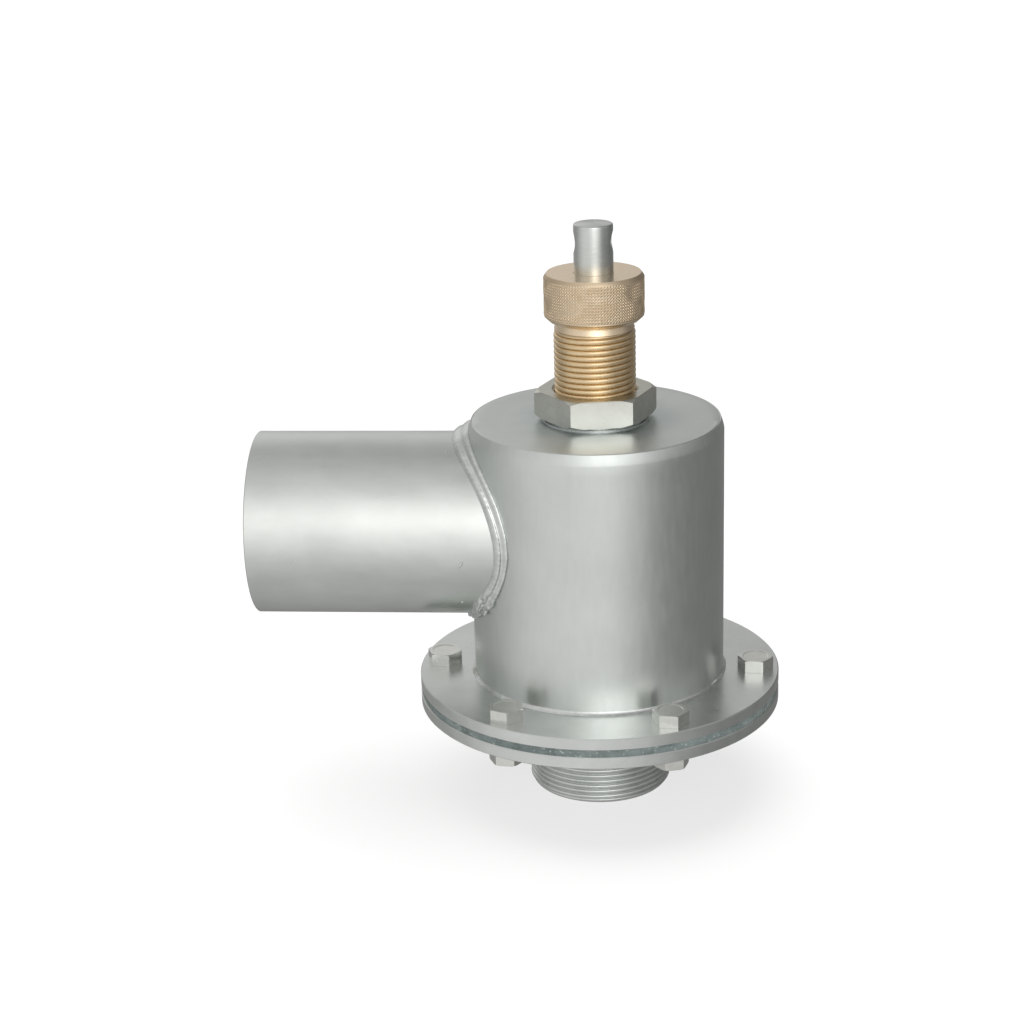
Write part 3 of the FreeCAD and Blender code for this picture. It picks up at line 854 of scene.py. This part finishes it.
def makeOutletBead():
    s = outletBead
    pipeRadius = outletPipe["radius"]
    columns, steps = s["columns"], s["sectionSteps"]
    rows = [[] for _ in range(steps + 3)]
    for j in range(columns):
        angle = 2 * math.pi * j / columns
        fromTop = abs((angle - math.pi / 2 + math.pi) % (2 * math.pi) - math.pi)
        side = -1.0 if math.cos(angle) < 0 else 1.0  # the front lies at negative y
        across = direction(angle, 0)
        wobble = noise.noise(across * s["wobbleScale"] + Vector((0, 0, 0.4)))
        blob = bump(math.remainder(angle - s["blobAt"], 2 * math.pi), 0, s["blobWidth"])
        tight = ease((math.degrees(fromTop) - s["tightFrom"]) / s["tightOver"])
        pipeLeg = s["pipeLeg"] + s["pipeLegTop"] * bump(fromTop, 0, s["pipeLegSpread"])
        pipeLeg += s["pipeLegWobble"] * wobble + s["blob"] * blob - s["tighter"] * tight
        wallLeg = s["wallLeg"] + s["wallLegTop"] * bump(fromTop, 0, s["wallLegSpread"])
        wallLeg += s["blobOnWall"] * s["blob"] * blob - s["wallLegWobble"] * wobble
        length = math.hypot(pipeLeg, wallLeg)
        crown = s["crown"] * (1 - s["topCrownLoss"] * bump(fromTop, 0, s["crownLossSpread"]))
        along = angle * pipeRadius / s["rippleLength"]
        for k in range(steps + 1):
            t = k / steps
            radius = pipeRadius + wallLeg * t
            standOff = pipeLeg * (1 - t)
            crest = math.sin(math.pi * t) ** s["crownShape"]
            crest *= 1 - s["groove"] * bump(t, s["grooveAt"], s["grooveWidth"])
            uneven = noise.noise(across * s["unevenScale"] + Vector((0, 0, t * 2 + side)))
            ripple = 1 + s["ripple"] * math.sin(2 * math.pi * along + s["rippleBend"] * (t - 0.5) ** 2)
            ripple += s["unevenness"] * uneven
            lump = noise.noise(Vector((angle * s["lumpScale"][0], t * s["lumpScale"][1], 0.7)))
            lump = s["blobLump"] * blob * (s["lumpLevel"] + s["lumpDepth"] * lump)
            height = (crown + lump) * crest * ripple
            radius += height * pipeLeg / length
            standOff += height * wallLeg / length
            rows[k].append(onHousing(radius, angle, max(standOff, -s["edgeSink"])))
        rows[steps + 1].append(onHousing(pipeRadius + wallLeg / 2, angle, -s["sink"]))  # under the skins
        rows[steps + 2].append(onHousing(pipeRadius - s["sink"], angle, pipeLeg / 2))
    bead = addRows("outletWeld", rows, finishes["weld_bead"], 88)
    return joinPieces([bead] + [makeSpatter(*drop) for drop in s["spatter"]])


def makeSpatter(along, degrees, size):
    # a small drop of weld metal on the outlet pipe
    angle, reach = math.radians(degrees), outletPipe["radius"]
    middle = Vector((along * mm, reach * math.cos(angle), housing["outletAxis"] + reach * math.sin(angle)))
    rows, count = [], 10
    for k in range(1, count // 2):
        lift = math.pi * (2 * k / count - 0.5)
        rows.append([direction(2 * math.pi * j / count, lift) * size * mm * 0.5 for j in range(count)])
    return addRows("spatter", moved(rows, middle), finishes["weld_bead"], 60, closed=False)


standFor(makeOutletBead(), "outlet_weld")

flangeBead = {"leg": 1.3 * mm, "columns": 480, "ripple": 0.015 * mm, "lump": 0.25 * mm, "rippleCount": 110}
nippleBead = {"leg": 2.8 * mm, "columns": 300, "ripple": 0.18 * mm, "lump": 0.35 * mm, "rippleCount": 75}
roundBead = {"steps": 8, "hollow": 0.12, "swellShare": 0.7, "under": 0.2 * mm, "sink": 0.1 * mm,
             "lumpScale": 4}


def makeRoundBead(name, size, radius, corner, upward):
    # a bead in the corner between an upright wall and a plate; upward is 1 above the plate, -1 below it
    s = roundBead
    rows = [[] for _ in range(s["steps"] + 3)]
    for j in range(size["columns"]):
        angle = 2 * math.pi * j / size["columns"]
        across = direction(angle, 0)
        leg = size["leg"] + noise.noise(across * s["lumpScale"] + Vector((0, 0, upward))) * size["lump"]
        ripple = size["ripple"] * math.sin(size["rippleCount"] * angle)
        for k in range(s["steps"] + 1):
            t = k / s["steps"]
            swell = (ripple - s["hollow"] * leg) * math.sin(math.pi * t) * s["swellShare"]
            outward = leg * (1 - t) + swell
            rise = leg * t + swell if k else -s["sink"]
            spot = across * (radius + outward)
            rows[k].append((spot.x, spot.y, corner + upward * rise))
        under = across * (radius - s["under"])
        rows[s["steps"] + 1].append((under.x, under.y, corner + upward * leg))
        rows[s["steps"] + 2].append((under.x, under.y, corner - upward * s["sink"]))
    return addRows(name, rows, finishes["weld_bead"], 50)


flangeTop, flangeFoot = heights("body_flange")[1], heights("base_flange")[0]
nippleWall = inletNipple["crest"] - inletNipple["depth"]
standFor(makeRoundBead("flangeWeld", flangeBead, housing["radius"], flangeTop, 1), "flange_weld")
standFor(makeRoundBead("nippleWeld", nippleBead, nippleWall, flangeFoot, -1), "nipple_weld")
print("weld beads: laid")


# Spring in two halves, split where the housing holds the middle; each runs to its own end plate

spring = {"wire": 1.8 * mm, "mean": 17.5 * mm, "endTurns": 1.0, "openTurns": 4.0, "endGap": 0.05 * mm,
          "coilGap": 0.25 * mm, "plateLip": 3.0 * mm, "stepsPerTurn": 48, "ringPoints": 14}


def springCentre(turn, low, high):
    s = spring
    endRise = (2 * s["wire"] + s["coilGap"]) * s["endTurns"]
    openRise = high - low - 2 * endRise
    total = 2 * s["endTurns"] + s["openTurns"]
    if turn < s["endTurns"]:
        return low + endRise * turn / s["endTurns"]
    if turn > total - s["endTurns"]:
        return high - endRise * (total - turn) / s["endTurns"]
    return low + endRise + openRise * (turn - s["endTurns"]) / s["openTurns"]


def makeSpringHalf(name, fromTurn, toTurn):
    s = spring
    low = heights("lower_spring_plate")[1] - s["plateLip"] + s["endGap"] + s["wire"]
    high = heights("upper_spring_plate")[0] + s["plateLip"] - s["endGap"] - s["wire"]
    steps = int((toTurn - fromTurn) * s["stepsPerTurn"])
    rows = []
    for k in range(steps + 1):
        rows.append([])
        turn = fromTurn + (toTurn - fromTurn) * k / steps
        outward = direction(2 * math.pi * turn, 0)
        centre = outward * s["mean"] + Vector((0, 0, springCentre(turn, low, high)))
        for j in range(s["ringPoints"]):
            around = 2 * math.pi * j / s["ringPoints"]
            rise = Vector((0, 0, s["wire"] * math.sin(around)))
            rows[-1].append(tuple(centre + outward * s["wire"] * math.cos(around) + rise))
    return addRows(name, rows, finishes["spring_steel"], 50, closed=False)


halfTurns = spring["endTurns"] + spring["openTurns"] / 2
lowerHalf = makeSpringHalf("springLower", 0.0, halfTurns)
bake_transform(lowerHalf)
upperHalf = makeSpringHalf("springUpper", halfTurns, 2 * halfTurns)
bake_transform(upperHalf)
for half in (lowerHalf, upperHalf):
    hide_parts("spring")
print("spring: wound")


# Camera at the photograph's angle

view = {"turn": math.radians(5.187), "pitch": math.radians(19.182), "roll": math.radians(1.562),
        "distance": 927.41 * mm, "target": Vector((-35.27 * mm, 0, 120.44 * mm)), "lens": 78.58,
        "sensor": 36.0}


def makeCamera():
    forward = Vector((0, math.cos(view["pitch"]), -math.sin(view["pitch"])))
    upward = Vector((0, math.sin(view["pitch"]), math.cos(view["pitch"])))
    across = Vector((1, 0, 0))
    turnedAcross = across * math.cos(view["roll"]) - upward * math.sin(view["roll"])
    turnedUp = across * math.sin(view["roll"]) + upward * math.cos(view["roll"])
    place = view["target"] - forward * view["distance"]
    pose = Matrix((turnedAcross, turnedUp, -forward)).transposed().to_4x4()
    pose.translation = place
    camera = bpy.data.objects.new("photoCamera", bpy.data.cameras.new("photoCamera"))
    camera.data.lens = view["lens"]
    camera.data.sensor_width = view["sensor"]
    camera.data.clip_start = 0.01
    camera.data.clip_end = 60.0
    camera.matrix_world = Matrix.Rotation(view["turn"], 4, "Z") @ pose
    bpy.context.scene.collection.objects.link(camera)
    bpy.context.scene.camera = camera


makeCamera()


# Light: a large round tent with soft bright patches round and above the camera, about a white floor

tent = {"radius": 8.0, "centre": 0.12, "base": 0.12, "columns": 64, "rings": 48,
        "lobes": (  # turn seen from above with the camera at 270, height, spread in degrees, strength
            (280.0, 28.0, 17.5, 1.33), (270.0, 17.0, 6.0, 0.60), (279.0, 0.0, 24.0, 0.56),
            (218.0, -5.0, 35.0, 0.56), (106.0, 22.0, 22.0, 0.60), (200.0, 66.0, 26.0, 0.45),
            (200.0, -82.0, 45.0, 0.25), (345.0, 27.0, 18.0, 0.32))}
floor = {"color": 0.88, "radius": 20.0, "columns": 64, "glow": 0.70, "lampStrength": 3.2,
         "lampTurn": math.radians(110), "lampHeight": math.radians(74), "lampSoftness": math.radians(60)}


def makeTent():
    rows = []
    for k in range(1, tent["rings"]):
        height = math.pi * (k / tent["rings"] - 0.5)
        across, up = tent["radius"] * math.cos(height), tent["radius"] * math.sin(height)
        rows.append(circleRow(across, up, tent["columns"]))
    material = bpy.data.materials.new("tentLight")
    tree = clearedTree(material)
    place = addNode(tree, "ShaderNodeTexCoord").outputs["Object"]
    towards = addNode(tree, "ShaderNodeVectorMath", {0: place}, operation="NORMALIZE").outputs["Vector"]
    total = None
    for turn, height, spread, strength in tent["lobes"]:
        middle = direction(math.radians(turn), math.radians(height))
        facing = addNode(tree, "ShaderNodeVectorMath", {0: towards, 1: middle}, operation="DOT_PRODUCT")
        away = calculate(tree, "SUBTRACT", facing.outputs["Value"], 1.0)
        power = calculate(tree, "MULTIPLY", away, 1 / math.radians(spread) ** 2)
        lobe = calculate(tree, "MULTIPLY", calculate(tree, "EXPONENT", power), strength)
        total = lobe if total is None else calculate(tree, "ADD", total, lobe)
    total = calculate(tree, "ADD", total, tent["base"])
    glow = addNode(tree, "ShaderNodeEmission", {"Color": (1.0, 1.0, 0.985, 1.0), "Strength": total})
    addNode(tree, "ShaderNodeOutputMaterial", {"Surface": glow.outputs["Emission"]})
    piece = addRows("lightTent", rows, material, closed=False)
    piece.rotation_euler = (0, 0, view["turn"])
    piece.location = (0, 0, tent["centre"])
    piece.visible_camera = False
    piece.visible_shadow = False


def seenRays(tree):
    # 1 where the camera, a reflection or clear glass looks, 0 where light only bounces
    path = addNode(tree, "ShaderNodeLightPath")
    seen = calculate(tree, "MAXIMUM", path.outputs["Is Camera Ray"], path.outputs["Is Glossy Ray"])
    return calculate(tree, "MAXIMUM", seen, path.outputs["Is Transmission Ray"])


def makeFloor():
    material = bpy.data.materials.new("paleFloor")
    tree = clearedTree(material)
    seen = calculate(tree, "MULTIPLY", seenRays(tree), floor["glow"])
    matt = addNode(tree, "ShaderNodeBsdfDiffuse", {"Color": shaded((1, 1, 1), floor["color"])})
    glow = addNode(tree, "ShaderNodeEmission", {"Color": (1.0, 1.0, 1.0, 1.0), "Strength": 1.0})
    both = addNode(tree, "ShaderNodeMixShader", {0: seen, 1: matt.outputs[0], 2: glow.outputs[0]})
    addNode(tree, "ShaderNodeOutputMaterial", {"Surface": both.outputs[0]})
    points = circleRow(floor["radius"], 0.0, floor["columns"])
    piece = addPiece("paleFloor", points, [tuple(range(floor["columns"]))], material)
    piece.visible_glossy = False  # the metal shows the tent's lower half there instead
    floorOnly = bpy.data.collections.new("floorOnly")
    bpy.context.scene.collection.children.link(floorOnly)
    floorOnly.objects.link(piece)
    lamp = bpy.data.lights.new("floorLamp", "SUN")  # lights the floor alone, so that it looks white
    lamp.energy = floor["lampStrength"]
    lamp.angle = floor["lampSoftness"]
    lampObject = bpy.data.objects.new("floorLamp", lamp)
    bpy.context.scene.collection.objects.link(lampObject)
    aim = direction(floor["lampTurn"] + view["turn"], floor["lampHeight"])
    lampObject.rotation_euler = aim.to_track_quat("Z", "Y").to_euler()
    lampObject.light_linking.receiver_collection = floorOnly


def makeWorld():
    world = bpy.data.worlds.new("whiteRoom")
    bpy.context.scene.world = world
    tree = clearedTree(world)
    dim = addNode(tree, "ShaderNodeBackground", {"Color": (0.5, 0.5, 0.5, 1.0)})
    white = addNode(tree, "ShaderNodeBackground", {"Color": (1.0, 1.0, 1.0, 1.0)})
    both = addNode(tree, "ShaderNodeMixShader", {0: seenRays(tree), 1: dim.outputs[0], 2: white.outputs[0]})
    addNode(tree, "ShaderNodeOutputWorld", {"Surface": both.outputs[0]})


makeTent()
makeFloor()
makeWorld()
bpy.context.scene.view_settings.view_transform = "Standard"
print("stage: lit")
